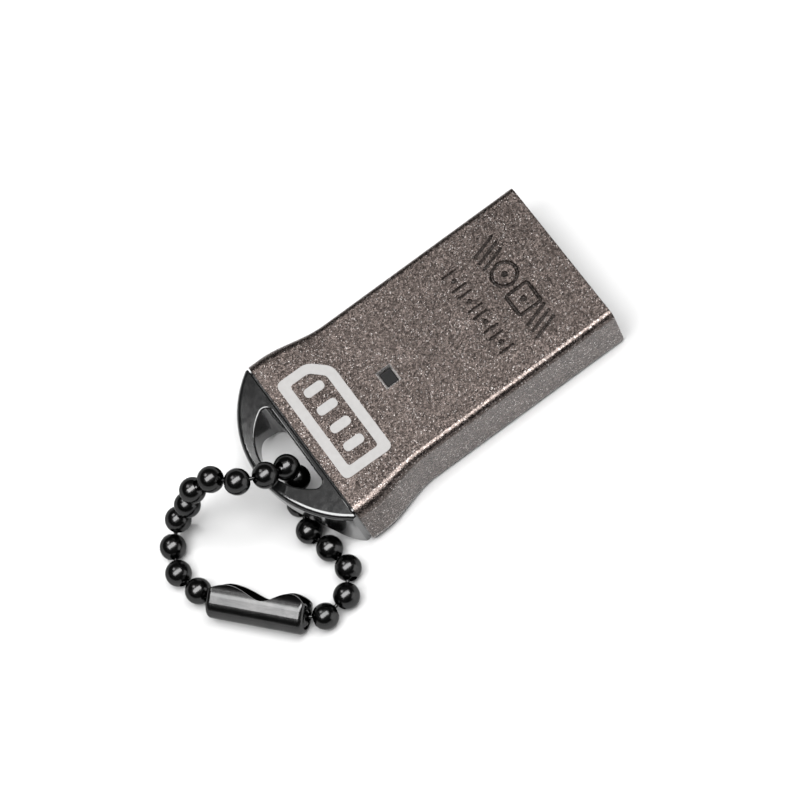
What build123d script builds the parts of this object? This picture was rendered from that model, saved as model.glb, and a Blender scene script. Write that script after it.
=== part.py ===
"""Micro USB flash drive with a one-piece metal sleeve, a moulded key loop and a ball chain.

Frame: origin at the middle of the plug's mouth, +X is the way the plug goes into a port,
+Y is to the left and +Z is up, out of the marked face. Millimetres.
"""
import os
from math import cos, radians, sqrt

from build123d import *

# Sleeve: a USB-A plug section that widens into a flat-bottomed tail
PLUG_WIDTH = 12.0
PLUG_HEIGHT = 4.5
WALL = 0.3
BEND_RADIUS = 0.5
RIM_FILLET = 0.07
SLEEVE_LENGTH = 21.15
FLARE_START = 15.5
FLARE_END = 20.2
FLARE_TOP = 0.75
FLARE_BOTTOM = 1.1
FLARE_RISE = 0.12
FLARE_BEND = 0.3
FLARE_STEPS = 6

# Latch window and pressed marks in the sleeve's top
WINDOW_X = 14.1
WINDOW_LENGTH = 0.9
WINDOW_WIDTH = 1.15
WINDOW_BEVEL = 0.12
MARK_DEPTH = 0.09
MARK_SLOPE = 40

# Tail cap: a plug inside the sleeve and a crescent loop behind it
LOOP_LENGTH = 3.72
LOOP_STRAIGHT = 0.4
LOOP_HALF_WIDTH = 6.62
HOLE_START = 0.45
HOLE_END = 2.98
HOLE_HALF_LENGTH = 3.75
HOLE_CORNER = 0.45
LOOP_GAP = 0.09
LOOP_FRONT_EDGE = 0.1
LOOP_EDGE = 0.35
LOOP_CROWN = 0.32
HOLE_EDGE = 0.12
CAP_PLUG_DEPTH = 2.3
CAP_CLEARANCE = 0.04
CAP_TENON = (1.2, 4.0, 1.2)
CAP_TENON_Z = -0.7

# Board: chip-on-board module on a plastic carrier, contacts facing up
CONTACT_FACE = 0.0
CONTACT_THICKNESS = 0.04
CONTACT_WIDTH = 1.5
BOARD_WIDTH = 11.2
BOARD_FRONT = 0.6
BOARD_REAR = 17.4
BOARD_THICKNESS = 0.3
MOULD_THICKNESS = 0.95
FILM_THICKNESS = 0.05
FIT_GAP = 0.05

# Ball chain
BALL_DIAMETER = 1.8
BALL_WALL = 0.12
BALL_HOLE = 0.67
PITCH = 1.92
PIN_ROD = 0.26
PIN_HEAD = 0.73
HEAD_OFFSET = 0.407
HEAD_GAP = PITCH - 2 * HEAD_OFFSET
CLASP_SPAN = 5.3
CLASP_WALL = 0.14
CLASP_PLAY = 0.06
CLASP_END_GAP = 0.62
CLASP_EXIT = 1.44
CLASP_EDGE = 0.35
CLASP_SLOT = 0.8
CLASP_LEAN = 2.5
EAR_STRAIGHT = 0.48

HALF_HEIGHT = PLUG_HEIGHT / 2
BALL_RADIUS = BALL_DIAMETER / 2
FLOOR = -HALF_HEIGHT
TOP = HALF_HEIGHT + FLARE_RISE

os.makedirs("parts", exist_ok=True)


def save(part, name):
    """Labels a finished piece and writes it."""
    part.label = name
    export_step(part, f"parts/{name}.step")


def across(x):
    """The plane across the drive at x, with +Y to the right and +Z up."""
    return Plane(origin=(x, 0, 0), x_dir=(0, 1, 0), z_dir=(1, 0, 0))


def flare(depth):
    """How far the tail has widened at a depth behind the mouth, from 0 to 1."""
    t = min(max((depth - FLARE_START) / (FLARE_END - FLARE_START), 0), 1)
    return t * t * (3 - 2 * t)


def sleeve_section(depth, inset):
    """The sleeve's outline at a depth, moved in by inset."""
    f = flare(depth)
    half_top = PLUG_WIDTH / 2 + FLARE_TOP * f - inset
    half_bottom = PLUG_WIDTH / 2 + FLARE_BOTTOM * f - inset
    top = HALF_HEIGHT + FLARE_RISE * f - inset
    bottom = -HALF_HEIGHT + inset
    radius = max(BEND_RADIUS + FLARE_BEND * f - inset, 0.15)
    with BuildSketch(across(-depth)) as section:
        with BuildLine():
            Polyline(
                (-half_bottom, bottom),
                (half_bottom, bottom),
                (half_top, top),
                (-half_top, top),
                close=True,
            )
        make_face()
        fillet(section.vertices(), radius)
    return section.sketch


def sleeve_body(start, end, inset, mode=Mode.ADD):
    """The sleeve's filled shape from one depth to another, added to the open part."""
    if start < FLARE_START:
        extrude(sleeve_section(start, inset), amount=start - min(end, FLARE_START), mode=mode)
    first = max(start, FLARE_START)
    last = min(end, FLARE_END)
    if first < last:
        step = (last - first) / FLARE_STEPS
        sections = [sleeve_section(first + step * i, inset) for i in range(FLARE_STEPS + 1)]
        loft(sections, mode=mode)
    if end > FLARE_END:
        extrude(sleeve_section(FLARE_END, inset), amount=FLARE_END - end, mode=mode)


# ---------------------------------------------------------------- sleeve
# Plain shapes pressed into the top, in two rows that run across the sleeve
ROW_X = -3.95
ROW_HEIGHT = 2.0
STROKE = 0.27
HATCH_LEAN = 18
HATCH_YS = [3.55, 3.0, 2.45, -2.65, -3.2, -3.75]
RING_Y = 1.05
FRAME_Y = -1.2
FRAME_CORNER = 0.3
DOT_RADIUS = 0.24
SMALL_ROW_X = -6.85
SMALL_ROW_HEIGHT = 1.2
SMALL_STROKE = 0.2
SMALL_PITCH = 0.62
SMALL_COUNT = 12

with BuildPart() as outer_shell:
    sleeve_body(0, SLEEVE_LENGTH, 0)
    end_rims = outer_shell.edges().group_by(Axis.X)[-1] + outer_shell.edges().group_by(Axis.X)[0]
    fillet(end_rims, RIM_FILLET)
    sleeve_body(0, SLEEVE_LENGTH, WALL, mode=Mode.SUBTRACT)
    with BuildSketch(Plane.XY.offset(HALF_HEIGHT)):
        with Locations((-WINDOW_X, 0)):
            Rectangle(WINDOW_LENGTH, WINDOW_WIDTH)
    extrude(amount=-3 * WALL, mode=Mode.SUBTRACT)
    with BuildSketch(Plane.XY.offset(HALF_HEIGHT)):
        with Locations((-WINDOW_X, 0)):
            Rectangle(WINDOW_LENGTH + 2 * WINDOW_BEVEL, WINDOW_WIDTH + 2 * WINDOW_BEVEL)
    extrude(amount=-WINDOW_BEVEL, taper=45, mode=Mode.SUBTRACT)
    with BuildSketch(Plane.XY.offset(HALF_HEIGHT)):
        with Locations(*[(ROW_X, y) for y in HATCH_YS]):
            SlotOverall(ROW_HEIGHT, STROKE, rotation=HATCH_LEAN)
        with Locations((ROW_X, RING_Y)):
            Circle(ROW_HEIGHT / 2)
            Circle(ROW_HEIGHT / 2 - STROKE, mode=Mode.SUBTRACT)
            Circle(DOT_RADIUS)
        with Locations((ROW_X, FRAME_Y)):
            RectangleRounded(ROW_HEIGHT, ROW_HEIGHT, FRAME_CORNER)
            Rectangle(ROW_HEIGHT - 2 * STROKE, ROW_HEIGHT - 2 * STROKE, mode=Mode.SUBTRACT)
            Circle(DOT_RADIUS)
        for i in range(SMALL_COUNT):
            with Locations((SMALL_ROW_X, SMALL_PITCH * (i - (SMALL_COUNT - 1) / 2))):
                if i % 3 == 1:
                    Circle(SMALL_STROKE)
                else:
                    SlotOverall(SMALL_ROW_HEIGHT, SMALL_STROKE)
    extrude(amount=-MARK_DEPTH, taper=MARK_SLOPE, mode=Mode.SUBTRACT)
save(outer_shell.part, "outer_shell")

# ---------------------------------------------------------------- tail cap
# Underside of the loop, from the sleeve's end to the tip: (distance behind the sleeve, z)
UNDERSIDE = [(0.5, FLOOR), (1.25, -1.6), (1.7, -0.7), (2.2, 0.2), (2.9, 0.9), (3.9, 1.2)]


def behind(distance):
    """The x of a place that far behind the sleeve's end."""
    return -SLEEVE_LENGTH - distance


with BuildPart() as tail_cap:
    with BuildSketch(Plane.XY.offset(FLOOR)):
        with BuildLine():
            Polyline(
                (behind(LOOP_STRAIGHT), LOOP_HALF_WIDTH),
                (behind(LOOP_GAP), LOOP_HALF_WIDTH),
                (behind(LOOP_GAP), -LOOP_HALF_WIDTH),
                (behind(LOOP_STRAIGHT), -LOOP_HALF_WIDTH),
            )
            ThreePointArc(
                (behind(LOOP_STRAIGHT), -LOOP_HALF_WIDTH),
                (behind(LOOP_LENGTH), 0),
                (behind(LOOP_STRAIGHT), LOOP_HALF_WIDTH),
            )
        make_face()
    extrude(amount=TOP - FLOOR)
    with BuildSketch(Plane.XZ.offset(-LOOP_HALF_WIDTH - 1)):
        with BuildLine():
            Spline(*[(behind(s), z) for s, z in UNDERSIDE])
            Polyline(
                (behind(UNDERSIDE[-1][0]), UNDERSIDE[-1][1]),
                (behind(UNDERSIDE[-1][0]), FLOOR - 1),
                (behind(UNDERSIDE[0][0]), FLOOR - 1),
                (behind(UNDERSIDE[0][0]), FLOOR),
            )
        make_face()
    extrude(amount=2 * LOOP_HALF_WIDTH + 2, mode=Mode.SUBTRACT)
    # the top falls a little from the middle to the two ends
    with BuildSketch(across(behind(0))):
        with BuildLine():
            ThreePointArc(
                (-LOOP_HALF_WIDTH, TOP - LOOP_CROWN),
                (0, TOP),
                (LOOP_HALF_WIDTH, TOP - LOOP_CROWN),
            )
            Polyline(
                (LOOP_HALF_WIDTH, TOP - LOOP_CROWN),
                (LOOP_HALF_WIDTH, FLOOR),
                (-LOOP_HALF_WIDTH, FLOOR),
                (-LOOP_HALF_WIDTH, TOP - LOOP_CROWN),
            )
        make_face()
    extrude(amount=-LOOP_LENGTH - 1, mode=Mode.INTERSECT)
    outer_top = tail_cap.faces().sort_by(Axis.Z)[-1].edges().sort_by(Axis.X)[0]
    fillet(outer_top, LOOP_EDGE)
    front_top = tail_cap.faces().sort_by(Axis.X)[-1].edges().sort_by(Axis.Z)[-1]
    fillet(front_top, LOOP_FRONT_EDGE)
    with BuildSketch(Plane.XY.offset(FLOOR)) as hole:
        with BuildLine():
            ThreePointArc(
                (behind(HOLE_START), -HOLE_HALF_LENGTH),
                (behind(HOLE_END), 0),
                (behind(HOLE_START), HOLE_HALF_LENGTH),
            )
            Line((behind(HOLE_START), HOLE_HALF_LENGTH), (behind(HOLE_START), -HOLE_HALF_LENGTH))
        make_face()
        fillet(hole.vertices(), HOLE_CORNER)
    extrude(amount=TOP - FLOOR + 1, mode=Mode.SUBTRACT)
    hole_rim = tail_cap.faces().sort_by(Axis.Z)[-1].inner_wires().edges()
    fillet(hole_rim, HOLE_EDGE)
    sleeve_body(SLEEVE_LENGTH - CAP_PLUG_DEPTH, SLEEVE_LENGTH + LOOP_GAP, WALL + CAP_CLEARANCE)
    with Locations((-(SLEEVE_LENGTH - CAP_PLUG_DEPTH) + CAP_TENON[0] / 2, 0, CAP_TENON_Z)):
        Box(*CAP_TENON)
save(tail_cap.part, "tail_cap")

# ---------------------------------------------------------------- carrier and board
SHELF_TOP = CONTACT_FACE - BOARD_THICKNESS - MOULD_THICKNESS - FILM_THICKNESS
TRAY_FRONT = 0.4
CARRIER_REAR = SLEEVE_LENGTH - CAP_PLUG_DEPTH - FIT_GAP
BLOCK_FRONT = 12.2
MORTISE_DEPTH = 1.5
LATCH_HEIGHT = 0.24

with BuildPart() as board_tray:
    # the lower half of the sleeve's inside, up to the contact face
    sleeve_body(TRAY_FRONT, CARRIER_REAR, WALL + CAP_CLEARANCE)
    split(bisect_by=Plane.XY.offset(CONTACT_FACE), keep=Keep.BOTTOM)
    # seat for the board
    with Locations((-(TRAY_FRONT + BOARD_REAR) / 2, 0, SHELF_TOP)):
        Box(
            BOARD_REAR - TRAY_FRONT + 2 * FIT_GAP,
            BOARD_WIDTH + 2 * FIT_GAP,
            PLUG_HEIGHT,
            align=(Align.CENTER, Align.CENTER, Align.MIN),
            mode=Mode.SUBTRACT,
        )
    # mortise for the cap's tenon
    with Locations((-CARRIER_REAR, 0, CAP_TENON_Z)):
        Box(MORTISE_DEPTH * 2, CAP_TENON[1] + 2 * FIT_GAP, CAP_TENON[2] + 2 * FIT_GAP, mode=Mode.SUBTRACT)
save(board_tray.part, "board_tray")

with BuildPart() as retainer_block:
    # the upper half, pressing the board down behind the open mouth
    sleeve_body(BLOCK_FRONT, CARRIER_REAR, WALL + CAP_CLEARANCE)
    split(bisect_by=Plane.XY.offset(CONTACT_FACE + CONTACT_THICKNESS / 4), keep=Keep.TOP)
    # mortise for the cap's tenon
    with Locations((-CARRIER_REAR, 0, CAP_TENON_Z)):
        Box(MORTISE_DEPTH * 2, CAP_TENON[1] + 2 * FIT_GAP, CAP_TENON[2] + 2 * FIT_GAP, mode=Mode.SUBTRACT)
    # latch that stands in the sleeve's window
    with Locations((-WINDOW_X, 0, HALF_HEIGHT - WALL)):
        Box(WINDOW_LENGTH - 2 * FIT_GAP, WINDOW_WIDTH - 2 * FIT_GAP, LATCH_HEIGHT)
save(retainer_block.part, "retainer_block")


def slab(front, rear, width, top, thickness, y=0.0):
    """A flat block between two depths, with its top at a height, added to the open part."""
    with Locations((-(front + rear) / 2, y, top - thickness / 2)):
        return Box(rear - front, width, thickness)


with BuildPart() as cob_substrate:
    slab(BOARD_FRONT, BOARD_REAR, BOARD_WIDTH, CONTACT_FACE, BOARD_THICKNESS)
    front_edge = cob_substrate.faces().sort_by(Axis.X)[-1].edges().sort_by(Axis.Z)[-1]
    chamfer(front_edge, 0.12)
save(cob_substrate.part, "cob_substrate")

with BuildPart() as adhesive_film:
    slab(BOARD_FRONT + 0.5, BOARD_REAR - 0.5, BOARD_WIDTH - 1.0, SHELF_TOP + FILM_THICKNESS, FILM_THICKNESS)
save(adhesive_film.part, "adhesive_film")

# The middle two contacts are shorter than the outer two: (name, y, front, rear)
CONTACTS = [
    ("contact_power", -3.5, 1.1, 8.5),
    ("contact_data_minus", -1.0, 2.1, 8.5),
    ("contact_data_plus", 1.0, 2.1, 8.5),
    ("contact_ground", 3.5, 1.1, 8.5),
]
for name, y, front, rear in CONTACTS:
    with BuildPart() as contact:
        slab(front, rear, CONTACT_WIDTH, CONTACT_FACE + CONTACT_THICKNESS, CONTACT_THICKNESS, y)
        fillet(contact.edges().filter_by(Axis.Z), 0.2)
    save(contact.part, name)

# Everything moulded in under the substrate: front, rear, width, thickness, y, drop below the board
BOARD_UNDERSIDE = CONTACT_FACE - BOARD_THICKNESS
CHIPS = {
    "nand_die_lower": [(7.2, 16.2, 6.6, 0.28, 1.2, 0.0)],
    "nand_die_upper": [(7.6, 15.8, 6.2, 0.28, 1.2, 0.28)],
    "controller_die": [(3.4, 6.0, 2.8, 0.25, 1.6, 0.0)],
    "crystal": [(3.2, 5.2, 1.6, 0.5, -2.6, 0.0)],
    "capacitors": [(7.4 + 1.7 * i, 8.4 + 1.7 * i, 0.5, 0.45, -3.6, 0.0) for i in range(5)],
    "resistors": [(7.6 + 1.7 * i, 8.2 + 1.7 * i, 0.3, 0.22, -4.6, 0.0) for i in range(4)],
}


def moulded_in(blocks):
    """The chips of one kind, added to the open part."""
    for front, rear, width, thickness, y, drop in blocks:
        slab(front, rear, width, BOARD_UNDERSIDE - drop, thickness, y)


chip_parts = {}
for name, blocks in CHIPS.items():
    with BuildPart() as chip:
        moulded_in(blocks)
    chip_parts[name] = chip.part
    save(chip.part, name)

with BuildPart() as encapsulant:
    slab(BOARD_FRONT + 0.1, BOARD_REAR, BOARD_WIDTH, BOARD_UNDERSIDE, MOULD_THICKNESS)
    for chip_part in chip_parts.values():
        add(chip_part, mode=Mode.SUBTRACT)
save(encapsulant.part, "encapsulant")

# ---------------------------------------------------------------- ball chain
# Ball centres as the chain lies: from the ball in the loop's hole, over the loop's bar,
# round the ring on the ground and back up through the hole.
CLASP_INNER = BALL_RADIUS + CLASP_PLAY
CLASP_OUTER = CLASP_INNER + CLASP_WALL
ON_GROUND = FLOOR + BALL_RADIUS
CLASP_ON_GROUND = FLOOR + CLASP_OUTER
ROUTE = [
    (-23.05, -1.0, 2.3),
    (-24.6, -1.0, 3.45),
    (-26.2, -0.5, 4.1),
    (-27.5, 0.7, 3.7),
    (-28.75, 1.3, 2.7),
    (-29.75, 1.5, 1.2),
    (-30.9, 1.6, -0.4),
    (-32.0, 0.9, ON_GROUND),
    (-32.6, -0.8, ON_GROUND),
    (-32.4, -2.8, ON_GROUND),
    (-31.6, -4.5, CLASP_ON_GROUND),
    (-28.2, -8.3, CLASP_ON_GROUND),
    (-26.6, -9.4, ON_GROUND),
    (-24.9, -9.2, ON_GROUND),
    (-23.8, -7.9, ON_GROUND),
    (-23.9, -6.0, ON_GROUND),
    (-24.3, -4.0, ON_GROUND),
    (-23.7, -2.1, -1.0),
    (-22.85, -1.1, 0.45),
]
COUNT = len(ROUTE)
CLASP_START = 10
CLASP_END = 11
MAX_TURN = 44
RELAX_ROUNDS = 3000

# The ears' upper edge along the clasp, one end to the other: (along, height above the axis)
EARS = [
    (-3.8, 0.5),
    (-3.1, 1.05),
    (-2.3, 1.3),
    (-1.4, 1.22),
    (-0.5, 0.92),
    (0.35, 0.7),
    (1.1, 1.0),
    (1.9, 1.42),
    (2.6, 1.4),
    (3.2, 1.08),
    (3.8, 0.5),
]
EAR_CEILING = 2.5

# Which balls fold together, from the loop outwards
NEAR = [15, 16, 17, 18, 0, 1, 2, 3]
MIDDLE = [4, 5, 6, 7, 8, 12, 13, 14]
FAR = [9, 10, 11]


def pull(places, i, j, length):
    """Moves two ball centres along their line until they are that far apart."""
    gap = places[j] - places[i]
    error = gap * ((1 - length / gap.length) / 2)
    places[i] += error
    places[j] -= error


def settle(route):
    """Ball centres with every link at its exact length and no turn too sharp for the pins."""
    places = [Vector(*point) for point in route]
    shortest = 2 * PITCH * cos(radians(MAX_TURN / 2))
    for _ in range(RELAX_ROUNDS):
        for i in range(COUNT):
            j = (i + 1) % COUNT
            k = (i + 2) % COUNT
            beside_clasp = CLASP_START in (i, j)
            if not beside_clasp and (places[k] - places[i]).length < shortest:
                pull(places, i, k, shortest)
            pull(places, i, j, CLASP_SPAN if i == CLASP_START else PITCH)
        for i, place in enumerate(places):
            lowest = CLASP_ON_GROUND if i in (CLASP_START, CLASP_END) else ON_GROUND
            places[i] = Vector(place.X, place.Y, max(place.Z, lowest))
    return places


balls = settle(ROUTE)


def direction(i):
    """Unit vector from a ball to the next one."""
    return (balls[(i + 1) % COUNT] - balls[i]).normalized()


def ball_axis(i):
    """The way a ball's two holes face: between its two neighbours."""
    return (direction(i) + direction(i - 1)).normalized()


for i in range(COUNT):
    with BuildPart(Plane(origin=balls[i], z_dir=ball_axis(i))) as ball:
        Sphere(BALL_RADIUS)
        Sphere(BALL_RADIUS - BALL_WALL, mode=Mode.SUBTRACT)
        Cylinder(BALL_HOLE / 2, BALL_DIAMETER + 1, mode=Mode.SUBTRACT)
    save(ball.part, f"ball_{i + 1:02d}")


def pins(starts, name):
    """The two-headed pins that leave the balls listed, as one node."""
    with BuildPart() as group:
        for i in starts:
            middle = balls[i] + direction(i) * (PITCH / 2)
            with Locations(Plane(origin=middle, z_dir=direction(i))):
                Cylinder(PIN_ROD / 2, HEAD_GAP)
                with Locations((0, 0, HEAD_GAP / 2), (0, 0, -HEAD_GAP / 2)):
                    Sphere(PIN_HEAD / 2)
    save(group.part, name)


# Each pin leaves the ball named by its number; the outer body carries the pins of the first
# fold, and the middle body carries those of the second, whose heads turn in the far balls.
pins([15, 16, 17, 18, 0, 1, 2], "pins_near")
pins([3, 4, 5, 6, 7, 8, 11, 12, 13, 14], "pins_middle")
pins([9], "pins_far")

# Clasp: a strip folded into a trough round the two end balls, with two pairs of ears
clasp_along = direction(CLASP_START)
clasp_middle = (balls[CLASP_START] + balls[CLASP_END]) / 2
clasp_open = Vector(-clasp_along.Y, clasp_along.X, 0) * CLASP_LEAN + Vector(0, 0, 1)
CLASP_HALF = CLASP_SPAN / 2 + CLASP_END_GAP + CLASP_WALL
clasp_plane = Plane(origin=clasp_middle, x_dir=clasp_open, z_dir=clasp_along)


def trough(radius):
    """The clasp's section: round below, with sides that lean in to the slot."""
    reach = sqrt(radius**2 - (CLASP_SLOT / 2) ** 2)
    lean = radius / sqrt(2)
    with BuildSketch(clasp_plane) as section:
        with BuildLine():
            ThreePointArc((0, radius), (-radius, 0), (0, -radius))
            Line((0, -radius), (EAR_STRAIGHT, -radius))
            ThreePointArc(
                (EAR_STRAIGHT, -radius),
                (EAR_STRAIGHT + lean, -lean),
                (EAR_STRAIGHT + reach, -CLASP_SLOT / 2),
            )
            Line((EAR_STRAIGHT + reach, -CLASP_SLOT / 2), (EAR_STRAIGHT + reach, CLASP_SLOT / 2))
            ThreePointArc(
                (EAR_STRAIGHT + reach, CLASP_SLOT / 2),
                (EAR_STRAIGHT + lean, lean),
                (EAR_STRAIGHT, radius),
            )
            Line((EAR_STRAIGHT, radius), (0, radius))
        make_face()
    return section.sketch


side_plane = Plane(origin=clasp_middle, x_dir=clasp_along, z_dir=clasp_plane.y_dir)
with BuildPart() as clasp:
    extrude(trough(CLASP_OUTER), amount=CLASP_HALF, both=True)
    fillet(clasp.edges().filter_by(clasp_plane), CLASP_EDGE)
    extrude(trough(CLASP_INNER), amount=CLASP_HALF - CLASP_WALL, both=True, mode=Mode.SUBTRACT)
    # slot between the ears, and the pins' way out at both ends
    with BuildSketch(clasp_plane):
        with Locations((CLASP_OUTER, 0)):
            Rectangle(2 * CLASP_OUTER, CLASP_SLOT)
        Circle(CLASP_EXIT / 2)
    extrude(amount=CLASP_HALF, both=True, mode=Mode.SUBTRACT)
    # the ears' outline, with the notch between the pairs
    with BuildSketch(side_plane):
        with BuildLine():
            Spline(*EARS)
            Polyline(EARS[-1], (EARS[-1][0], EAR_CEILING), (EARS[0][0], EAR_CEILING), EARS[0])
        make_face()
    extrude(amount=2 * CLASP_OUTER, both=True, mode=Mode.SUBTRACT)
save(clasp.part, "clasp")


def place(vector):
    """A point as plain numbers, for printing."""
    return f"({vector.X:.4f}, {vector.Y:.4f}, {vector.Z:.4f})"


def pivot(inner, outer):
    """The head inside the inner ball, about which the pin to the outer ball turns."""
    return balls[inner] + (balls[outer] - balls[inner]).normalized() * HEAD_OFFSET


print("first fold", place(pivot(3, 4)), place(pivot(15, 14)))
print("second fold", place(pivot(9, 8)), place(pivot(11, 12)))
print("clasp", place(clasp_middle), place(clasp_along))
for i in range(COUNT):
    print(f"ball {i + 1}", place(balls[i]), f"turn {direction(i).get_angle(direction(i - 1)):.1f}")
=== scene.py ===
"""Looks of the very small USB flash drive: finishes, printed mark, camera, floor, world and lights."""
import math

import bmesh
import bpy
from mathutils import Matrix, Vector
from mathutils.bvhtree import BVHTree


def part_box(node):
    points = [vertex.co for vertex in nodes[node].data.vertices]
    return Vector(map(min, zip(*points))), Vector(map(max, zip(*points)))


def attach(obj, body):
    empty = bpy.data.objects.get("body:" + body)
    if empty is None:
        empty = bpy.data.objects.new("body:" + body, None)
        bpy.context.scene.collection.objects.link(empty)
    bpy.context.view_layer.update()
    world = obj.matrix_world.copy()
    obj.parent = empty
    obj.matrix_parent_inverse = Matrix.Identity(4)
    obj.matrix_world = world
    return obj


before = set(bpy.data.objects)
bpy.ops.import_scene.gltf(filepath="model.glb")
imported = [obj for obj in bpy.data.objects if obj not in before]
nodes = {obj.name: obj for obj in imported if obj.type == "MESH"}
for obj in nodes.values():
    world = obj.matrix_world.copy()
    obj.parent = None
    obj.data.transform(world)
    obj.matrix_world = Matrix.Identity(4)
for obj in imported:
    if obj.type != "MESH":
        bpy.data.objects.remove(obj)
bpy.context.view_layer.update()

MM = 0.001
BALLS = [name for name in nodes if name.startswith("ball_")]
PINS = [name for name in nodes if name.startswith("pins_")]
CONTACTS = [name for name in nodes if name.startswith("contact_")]

# The origin is in the middle of the plug's mouth: X runs out of the mouth, so the drive lies at
# negative X, and the plug is as far above Z = 0 as below it.
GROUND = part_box("outer_shell")[0].z
PLUG_TOP = -GROUND
PLUG_HALF_WIDTH = 6.0 * MM
WALL = 0.3 * MM
INSIDE_TOP = PLUG_TOP - WALL
INSIDE_HALF_WIDTH = PLUG_HALF_WIDTH - WALL
WINDOW_DISTANCE = 14.1 * MM
WINDOW_LENGTH = 0.9 * MM
WINDOW_WIDTH = 1.15 * MM
WINDOW_BEVEL = 0.12 * MM
MARKS_END = -10.0 * MM
MARKS_HALF_WIDTH = 5.0 * MM


# ---------------------------------------------------------------- node helpers
class Shader:
    """A material under construction, with short ways to add and join its nodes."""

    def __init__(self, name):
        self.material = bpy.data.materials.new(name)
        self.material.use_nodes = True
        self.tree = self.material.node_tree
        self.bsdf = self.tree.nodes["Principled BSDF"]
        self.place = self.add("ShaderNodeTexCoord").outputs["Object"]

    def add(self, kind, **settings):
        """A new node; settings are its properties."""
        node = self.tree.nodes.new(kind)
        for key, value in settings.items():
            setattr(node, key, value)
        return node

    def join(self, value, socket):
        """Sets a socket from another socket or from a plain value."""
        if isinstance(value, bpy.types.NodeSocket):
            self.tree.links.new(value, socket)
        else:
            socket.default_value = value

    def noise(self, scale, detail=3.0, roughness=0.5, place=None):
        """Noise at a scale in cycles a metre."""
        node = self.add("ShaderNodeTexNoise")
        self.join(place or self.place, node.inputs["Vector"])
        node.inputs["Scale"].default_value = scale
        node.inputs["Detail"].default_value = detail
        node.inputs["Roughness"].default_value = roughness
        return node.outputs["Fac"]

    def cells(self, scale):
        """Three random values for each cell of a pattern at a scale in cells a metre."""
        node = self.add("ShaderNodeTexVoronoi")
        self.join(self.place, node.inputs["Vector"])
        node.inputs["Scale"].default_value = scale
        parts = self.add("ShaderNodeSeparateColor")
        self.join(node.outputs["Color"], parts.inputs["Color"])
        return list(parts.outputs)

    def stretched(self, factors):
        """The place on the object times one factor for each axis; under 1 makes a pattern longer."""
        node = self.add("ShaderNodeMapping")
        self.join(self.place, node.inputs["Vector"])
        node.inputs["Scale"].default_value = factors
        return node.outputs["Vector"]

    def spread(self, value, low, high, to_low=0.0, to_high=1.0):
        """Maps low..high to to_low..to_high, clamped."""
        node = self.add("ShaderNodeMapRange")
        self.join(value, node.inputs["Value"])
        limits = {"From Min": low, "From Max": high, "To Min": to_low, "To Max": to_high}
        for key, number in limits.items():
            node.inputs[key].default_value = number
        return node.outputs["Result"]

    def uneven(self, scale, low, high, detail=3.0, peak=0.7):
        """Noise as a value from low to high; the raw noise is mostly between 0.3 and peak."""
        return self.spread(self.noise(scale, detail), 0.3, peak, low, high)

    def within(self, value, limit, fade):
        """1 where a value is between -limit and limit, and 0 from fade further out."""
        return self.spread(self.math("ABSOLUTE", value), limit + fade, limit)

    def math(self, operation, a, b=0.0):
        """One math operation on two values."""
        node = self.add("ShaderNodeMath", operation=operation)
        self.join(a, node.inputs[0])
        self.join(b, node.inputs[1])
        return node.outputs[0]

    def product(self, *values):
        """All the values multiplied together."""
        total = values[0]
        for value in values[1:]:
            total = self.math("MULTIPLY", total, value)
        return total

    def scaled(self, colour, factor):
        """A colour times a factor."""
        node = self.add("ShaderNodeVectorMath", operation="SCALE")
        self.join(colour, node.inputs[0])
        self.join(factor, node.inputs["Scale"])
        return node.outputs[0]

    def mix(self, amount, a, b):
        """Mixes two colours."""
        node = self.add("ShaderNodeMix", data_type="RGBA")
        self.join(amount, node.inputs["Factor"])
        self.join(a, node.inputs["A"])
        self.join(b, node.inputs["B"])
        return node.outputs["Result"]

    def axes(self):
        """The three coordinates of the place on the object, in metres."""
        node = self.add("ShaderNodeSeparateXYZ")
        self.join(self.place, node.inputs[0])
        return node.outputs["X"], node.outputs["Y"], node.outputs["Z"]

    def bump(self, height, distance, strength):
        """Bumps the surface; distance is the height of the bumps in metres."""
        node = self.add("ShaderNodeBump")
        self.join(height, node.inputs["Height"])
        node.inputs["Distance"].default_value = distance
        node.inputs["Strength"].default_value = strength
        if self.bsdf.inputs["Normal"].is_linked:
            self.join(self.bsdf.inputs["Normal"].links[0].from_socket, node.inputs["Normal"])
        self.join(node.outputs["Normal"], self.bsdf.inputs["Normal"])

    def set(self, **values):
        """Sets the main shader's sockets; words are joined with underscores."""
        for key, value in values.items():
            self.join(value, self.bsdf.inputs[key.replace("_", " ")])


def grey(value, warmth=0.0):
    """A linear grey as a colour, a little red for positive warmth."""
    return (value * (1 + warmth), value, value * (1 - 0.4 * warmth), 1)


# ---------------------------------------------------------------- finishes
def pressed_floor(look, x, y, z, outside):
    """1 on the floors of the pressed marks, where painted shade darkens the paint: just under the
    plug's top face, and near its mouth.
    """
    deep = look.spread(z, PLUG_TOP - 0.015 * MM, PLUG_TOP - 0.045 * MM)
    across = look.within(y, MARKS_HALF_WIDTH, fade=0.2 * MM)
    along = look.spread(x, MARKS_END, MARKS_END + 0.5 * MM)
    return look.product(deep, outside, across, along)


def window_rim(look, x, y, outside):
    """1 on the bevel round the latch window, where a painted highlight brightens the paint."""
    inset = 0.01 * MM
    half_length = WINDOW_LENGTH / 2 + WINDOW_BEVEL - inset
    half_width = WINDOW_WIDTH / 2 + WINDOW_BEVEL - inset
    along = look.within(look.math("ADD", x, WINDOW_DISTANCE), half_length, fade=0.04 * MM)
    across = look.within(y, half_width, fade=0.04 * MM)
    return look.product(along, across, outside)


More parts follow.
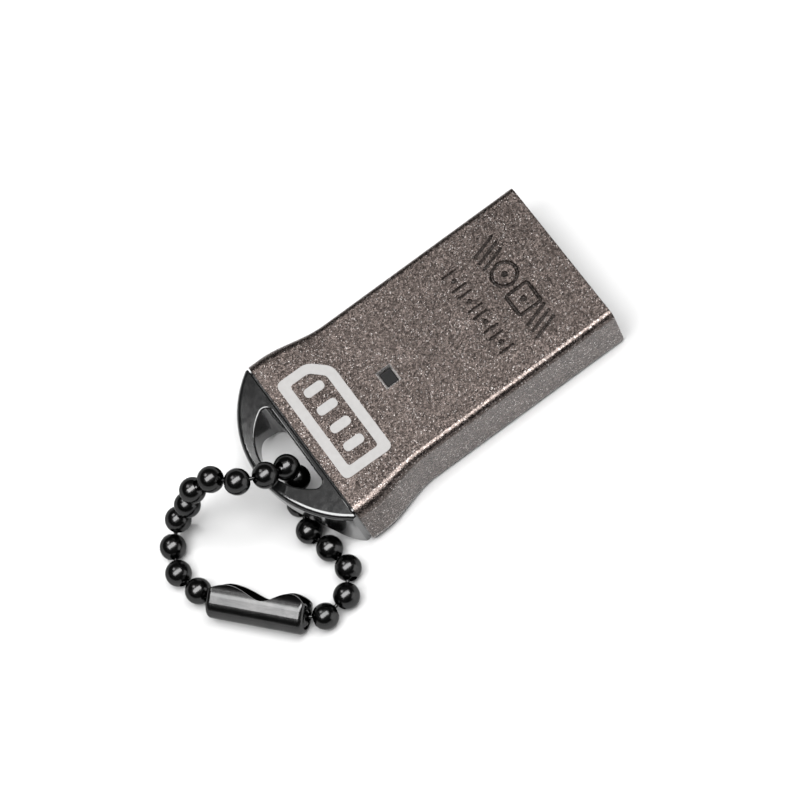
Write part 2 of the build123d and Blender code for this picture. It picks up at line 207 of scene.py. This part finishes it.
def inside_face(look, y, z):
    """1 on the sleeve's inner faces, as far back as the flare."""
    margin = 0.01 * MM
    across = look.within(y, INSIDE_HALF_WIDTH + margin, fade=0.03 * MM)
    upright = look.within(z, INSIDE_TOP + margin, fade=0.03 * MM)
    return look.product(across, upright)


def sleeve_paint():
    """Warm grey metallic paint of fine mica grains, with painted shade on the lower bend and sides and
    in the pressed marks, a painted highlight on the window's bevel, and bare steel inside.
    """
    look = Shader("sleeve_paint")
    x, y, z = look.axes()
    fine = look.cells(15500)
    coarse = look.cells(10500)
    grains = look.product(fine[0], coarse[1])
    paint = look.mix(look.spread(grains, 0.0, 0.8), grey(0.042, 0.25), grey(0.212, 0.22))
    clouds = look.uneven(700, 0.88, 1.12, detail=4)
    # Painted shade: the paint's tone drops to 0.75 from just under the top face, over the lower bend
    # and the sides
    painted_shade_sides = look.spread(z, PLUG_TOP - 0.1 * MM, PLUG_TOP - 0.4 * MM, 1.0, 0.75)
    paint = look.scaled(paint, look.product(clouds, painted_shade_sides))
    glint = look.spread(fine[1], 0.95, 0.99)
    paint = look.mix(glint, paint, grey(0.5, 0.08))

    outside = look.spread(z, INSIDE_TOP + 0.02 * MM, INSIDE_TOP + 0.07 * MM)
    # Painted shade: the floors of the pressed marks are darkened towards near-black
    painted_shade_in_marks = look.product(pressed_floor(look, x, y, z, outside), 0.7)
    paint = look.mix(painted_shade_in_marks, paint, grey(0.012, 0.1))
    # Painted highlight: the window's bevel is made a bright, near-white metal, brighter than the bare
    # steel inside
    painted_highlight_rim = look.product(window_rim(look, x, y, outside), 0.8)
    paint = look.mix(painted_highlight_rim, paint, grey(0.75, 0.03))
    steel = look.mix(look.noise(2400, detail=4), grey(0.42, 0.02), grey(0.56, 0.02))
    look.set(Base_Color=look.mix(inside_face(look, y, z), paint, steel), Metallic=1.0)
    look.set(Roughness=look.spread(coarse[0], 0.0, 1.0, 0.22, 0.38))
    look.set(Coat_Weight=0.2, Coat_Roughness=0.12)
    look.bump(look.noise(5200, detail=2), distance=0.008 * MM, strength=0.5)
    look.bump(grains, distance=0.006 * MM, strength=0.7)
    return look.material


def gloss_black():
    """Moulded black plastic with a high polish, faint flow waviness and a fine haze."""
    look = Shader("gloss_black")
    haze = look.spread(look.noise(420, detail=5, roughness=0.6), 0.3, 0.75)
    look.set(Base_Color=look.mix(haze, grey(0.0035, -0.03), grey(0.0070, -0.03)), IOR=1.95)
    look.set(Roughness=look.uneven(2600, 0.09, 0.16, detail=4, peak=0.75))
    look.bump(look.noise(210, detail=2), distance=0.02 * MM, strength=0.12)
    return look.material


def matte_black(name):
    """Moulded black plastic with an eroded, slightly grainy face."""
    look = Shader(name)
    look.set(Base_Color=look.mix(look.noise(3000, detail=4), grey(0.0096), grey(0.0156)))
    look.set(Roughness=look.uneven(9000, 0.42, 0.62), Specular_IOR_Level=0.12)
    look.bump(look.noise(14000), distance=0.006 * MM, strength=0.7)
    return look.material


def black_nickel(name, roughness, tone):
    """Polished black-nickel plating with fine tumbling scratches and a slightly uneven tone."""
    look = Shader(name)
    scratches = look.noise(2300, detail=4, roughness=0.65, place=look.stretched((1, 1, 7)))
    look.set(Base_Color=look.mix(look.noise(650), grey(tone * 0.75, -0.03), grey(tone * 1.3, 0.02)))
    look.set(Metallic=1.0, Specular_Tint=grey(0.55))
    look.set(Roughness=look.spread(scratches, 0.3, 0.75, *roughness))
    look.bump(scratches, distance=0.004 * MM, strength=0.5)
    look.bump(look.noise(900, detail=2), distance=0.012 * MM, strength=0.3)
    return look.material


def gold_plate():
    """Gold flash over nickel, with light wipe marks along the plug."""
    look = Shader("gold_plate")
    wipes = look.noise(9000, roughness=0.6, place=look.stretched((0.15, 1, 1)))
    look.set(Base_Color=look.mix(wipes, (0.78, 0.50, 0.16, 1), (0.95, 0.70, 0.30, 1)), Metallic=1.0)
    look.set(Roughness=look.spread(wipes, 0.3, 0.7, 0.16, 0.34))
    look.bump(wipes, distance=0.003 * MM, strength=0.5)
    return look.material


def solder_mask():
    """Dark green lacquer over copper, a little glossy and uneven."""
    look = Shader("solder_mask")
    look.set(Base_Color=look.mix(look.noise(1500), (0.004, 0.016, 0.009, 1), (0.007, 0.028, 0.015, 1)))
    look.set(Roughness=look.uneven(4000, 0.22, 0.38))
    look.bump(look.noise(5000), distance=0.005 * MM, strength=0.6)
    return look.material


def plain_part(name, low, high, metallic=0.0, roughness=0.4):
    """A small inner part: two close tones and a fine grain."""
    look = Shader(name)
    look.set(Base_Color=look.mix(look.noise(3500, detail=4), low, high), Metallic=metallic)
    look.set(Roughness=look.uneven(8000, roughness * 0.8, roughness * 1.25))
    look.bump(look.noise(12000, detail=2), distance=0.004 * MM, strength=0.5)
    return look.material


def print_ink():
    """Pale grey screen-printed ink with a faint mesh unevenness."""
    look = Shader("print_ink")
    tone = look.uneven(2600, 0.0, 1.0, detail=4)
    look.set(Base_Color=look.mix(tone, (0.325, 0.317, 0.312, 1), (0.355, 0.347, 0.342, 1)))
    look.set(Roughness=look.uneven(9000, 0.42, 0.6))
    look.bump(look.noise(16000, detail=2), distance=0.003 * MM, strength=0.6)
    return look.material


def dress(names, material):
    """Gives CAD nodes a finish."""
    for name in names:
        node = nodes[name]
        if not node.material_slots:
            node.data.materials.append(material)
        for slot in node.material_slots:
            slot.material = material


dress(["outer_shell"], sleeve_paint())
dress(["tail_cap"], gloss_black())
dress(["board_tray", "retainer_block"], matte_black("matte_black"))
dress(["encapsulant"], matte_black("mould_epoxy"))
dress(["adhesive_film"], plain_part("adhesive", (0.5, 0.46, 0.34, 1), (0.62, 0.58, 0.45, 1)))
dress(["cob_substrate"], solder_mask())
dress(CONTACTS, gold_plate())
silicon = plain_part("silicon", grey(0.10, -0.1), grey(0.16, -0.08), metallic=0.6, roughness=0.15)
dress(["nand_die_lower", "nand_die_upper", "controller_die"], silicon)
dress(["crystal"], plain_part("crystal_can", grey(0.5), grey(0.62), metallic=1.0, roughness=0.3))
dress(["capacitors"], plain_part("ceramic", (0.36, 0.24, 0.15, 1), (0.46, 0.32, 0.21, 1)))
dress(["resistors"], plain_part("resistor_body", grey(0.02), grey(0.04)))
dress(BALLS + PINS, black_nickel("black_nickel", roughness=(0.15, 0.25), tone=0.055))
dress(["clasp"], black_nickel("clasp_nickel", roughness=(0.18, 0.26), tone=0.07))


# ---------------------------------------------------------------- printed mark
# A plain memory-card sign: an outline with one cut corner, and four bars along X in it
SIGN_FRONT = -16.6 * MM
SIGN_REAR = -20.4 * MM
SIGN_HALF_WIDTH = 4.3 * MM
SIGN_STROKE = 0.72 * MM
SIGN_CUT = 1.3 * MM
SIGN_CORNER = 0.5 * MM
BAR_LENGTH = 1.5 * MM
BAR_SPACING = 1.6 * MM
BAR_COUNT = 4
INK_THICKNESS = 0.012 * MM
INK_SUNK = INK_THICKNESS / 4
MERGE_DISTANCE = INK_THICKNESS / 4
INK_STEP = 0.25 * MM
ABOVE_SLEEVE = 5 * MM


def rounded(points, radius, steps=6):
    """A closed outline with each corner rounded by a curve that starts and ends radius from it."""
    outline = []
    for i, corner in enumerate(points):
        start = corner + (points[i - 1] - corner).normalized() * radius
        end = corner + (points[(i + 1) % len(points)] - corner).normalized() * radius
        for k in range(steps + 1):
            t = k / steps
            outline.append(start * (1 - t) ** 2 + corner * (2 * t * (1 - t)) + end * t**2)
    return outline


def card_outline(inset):
    """The sign's outline moved in by inset."""
    front, rear, side = SIGN_FRONT - inset, SIGN_REAR + inset, SIGN_HALF_WIDTH - inset
    cut = SIGN_CUT - inset * (2 - math.sqrt(2))
    corners = [(front, -side), (front, side - cut), (front - cut, side), (rear, side), (rear, -side)]
    radius = SIGN_CORNER if inset == 0 else SIGN_CORNER / 2
    return rounded([Vector((x, y, 0)) for x, y in corners], radius)


def bar_outline(x, y, length, width):
    """A bar with rounded ends, lying along X."""
    half = Vector((length / 2, width / 2, 0))
    corners = [(1, -1), (1, 1), (-1, 1), (-1, -1)]
    middle = Vector((x, y, 0))
    return rounded([middle + Vector((half.x * a, half.y * b, 0)) for a, b in corners], width / 2)


def add_print():
    """The pale sign on the sleeve's tail, following the painted surface."""
    work = bmesh.new()
    outer = [work.verts.new(point) for point in card_outline(0)]
    inner = [work.verts.new(point) for point in card_outline(SIGN_STROKE)]
    for i in range(len(outer)):
        j = (i + 1) % len(outer)
        work.faces.new((outer[i], outer[j], inner[j], inner[i]))
    middle = (SIGN_FRONT + SIGN_REAR) / 2
    for i in range(BAR_COUNT):
        y = (i - (BAR_COUNT - 1) / 2) * BAR_SPACING
        outline = bar_outline(middle, y, BAR_LENGTH, SIGN_STROKE)
        work.faces.new([work.verts.new(point) for point in outline])
    bmesh.ops.remove_doubles(work, verts=work.verts, dist=MERGE_DISTANCE)
    cuts = int((SIGN_FRONT - SIGN_REAR) / INK_STEP)
    for i in range(1, cuts):
        place = Vector((SIGN_REAR + i * INK_STEP, 0, 0))
        geometry = work.verts[:] + work.edges[:] + work.faces[:]
        bmesh.ops.bisect_plane(work, geom=geometry, plane_co=place, plane_no=(1, 0, 0))
    bmesh.ops.recalc_face_normals(work, faces=work.faces)

    shell = nodes["outer_shell"].data
    surface = BVHTree.FromPolygons([v.co for v in shell.vertices], [p.vertices for p in shell.polygons])
    for vertex in work.verts:
        above = Vector((vertex.co.x, vertex.co.y, ABOVE_SLEEVE))
        hit = surface.ray_cast(above, Vector((0, 0, -1)))[0]
        vertex.co.z = hit.z - INK_SUNK
    lifted = bmesh.ops.extrude_face_region(work, geom=work.faces[:])
    for item in lifted["geom"]:
        if isinstance(item, bmesh.types.BMVert):
            item.co.z += INK_THICKNESS
    bmesh.ops.recalc_face_normals(work, faces=work.faces)
    mesh = bpy.data.meshes.new("card_sign")
    work.to_mesh(mesh)
    work.free()
    mesh.materials.append(print_ink())
    sign = bpy.data.objects.new("card_sign", mesh)
    bpy.context.scene.collection.objects.link(sign)
    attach(sign, "drive")


add_print()


# ---------------------------------------------------------------- camera
# The view is 65 degrees above the horizon and rolled, so that the plug points to the upper right.
FORWARD = Vector((0.0362, 0.4192, -0.9072)).normalized()
UP = Vector((0.5898, 0.7238, 0.3580))
CAMERA_PLACE = Vector((-23.514, -107.156, 230.103)) * MM
LENS = 173.0


def add_camera():
    """The camera of the main view."""
    data = bpy.data.cameras.new("camera")
    data.lens = LENS
    data.sensor_width = 36
    data.clip_start = 0.01
    data.clip_end = 10
    camera = bpy.data.objects.new("camera", data)
    bpy.context.scene.collection.objects.link(camera)
    right = FORWARD.cross(UP).normalized()
    up = right.cross(FORWARD)
    turn = Matrix((right, up, -FORWARD)).transposed()
    camera.matrix_world = Matrix.Translation(CAMERA_PLACE) @ turn.to_4x4()
    bpy.context.scene.camera = camera


# ---------------------------------------------------------------- floor, world and lights
# The floor's and the lights' sizes and distances are in metres
FLOOR_HALF = 1.5
LIGHT_TARGET = Vector((-14 * MM, 0, 0))
# The studio's brightness, by the height of the direction: 0 is level and 1 is straight up
STUDIO_STOPS = [(0.0, 0.95), (0.09, 0.9), (0.14, 0.05), (0.74, 0.04), (0.86, 0.24), (1.0, 0.35)]


def add_floor():
    """A large pale, glossy floor under the drive."""
    mesh = bpy.data.meshes.new("floor")
    signs = [(-1, -1), (1, -1), (1, 1), (-1, 1)]
    mesh.from_pydata([(FLOOR_HALF * a, FLOOR_HALF * b, GROUND) for a, b in signs], [], [(0, 1, 2, 3)])
    floor = bpy.data.objects.new("floor", mesh)
    bpy.context.scene.collection.objects.link(floor)
    look = Shader("floor_white")
    look.set(Base_Color=look.mix(look.noise(30, detail=2), grey(0.63), grey(0.65)))
    look.set(Roughness=0.07, IOR=1.5)
    mesh.materials.append(look.material)


def add_softbox(name, toward, size, radiance, distance=0.6):
    """A soft rectangular light in a direction from the drive, facing it; its first side is level."""
    light = bpy.data.lights.new(name, "AREA")
    light.shape = "RECTANGLE"
    light.size, light.size_y = size
    light.energy = radiance * math.pi * size[0] * size[1]
    lamp = bpy.data.objects.new(name, light)
    direction = Vector(toward).normalized()
    lamp.location = LIGHT_TARGET + direction * distance
    lamp.rotation_mode = "QUATERNION"
    lamp.rotation_quaternion = direction.to_track_quat("Z", "Y")
    bpy.context.scene.collection.objects.link(lamp)


def add_world():
    """Studio surroundings: bright up to just above level, then dark walls and a dim ceiling."""
    world = bpy.data.worlds.new("studio")
    world.use_nodes = True
    tree = world.node_tree
    place = tree.nodes.new("ShaderNodeTexCoord")
    height = tree.nodes.new("ShaderNodeSeparateXYZ")
    tree.links.new(place.outputs["Generated"], height.inputs[0])
    ramp = tree.nodes.new("ShaderNodeValToRGB")
    tree.links.new(height.outputs["Z"], ramp.inputs["Fac"])
    while len(ramp.color_ramp.elements) < len(STUDIO_STOPS):
        ramp.color_ramp.elements.new(0.5)
    for element, (position, value) in zip(ramp.color_ramp.elements, STUDIO_STOPS):
        element.position = position
        element.color = (value, value, value, 1)
    background = tree.nodes["Background"]
    tree.links.new(ramp.outputs["Color"], background.inputs["Color"])
    background.inputs["Strength"].default_value = 1.0
    bpy.context.scene.world = world


add_camera()
add_floor()
add_world()
# Any X in the overhead light's direction would turn its long side away from the drive's length
add_softbox("overhead", toward=(0.0, -0.096, 0.995), size=(0.9, 0.355), radiance=8.0)
add_softbox("key", toward=(-0.2, 0.5, 0.83), size=(0.08, 0.08), radiance=6.0, distance=0.3)
add_softbox("low_card", toward=(0.75, -0.7, 0.3), size=(0.5, 0.25), radiance=1.3)
bpy.context.scene.view_settings.view_transform = "Standard"
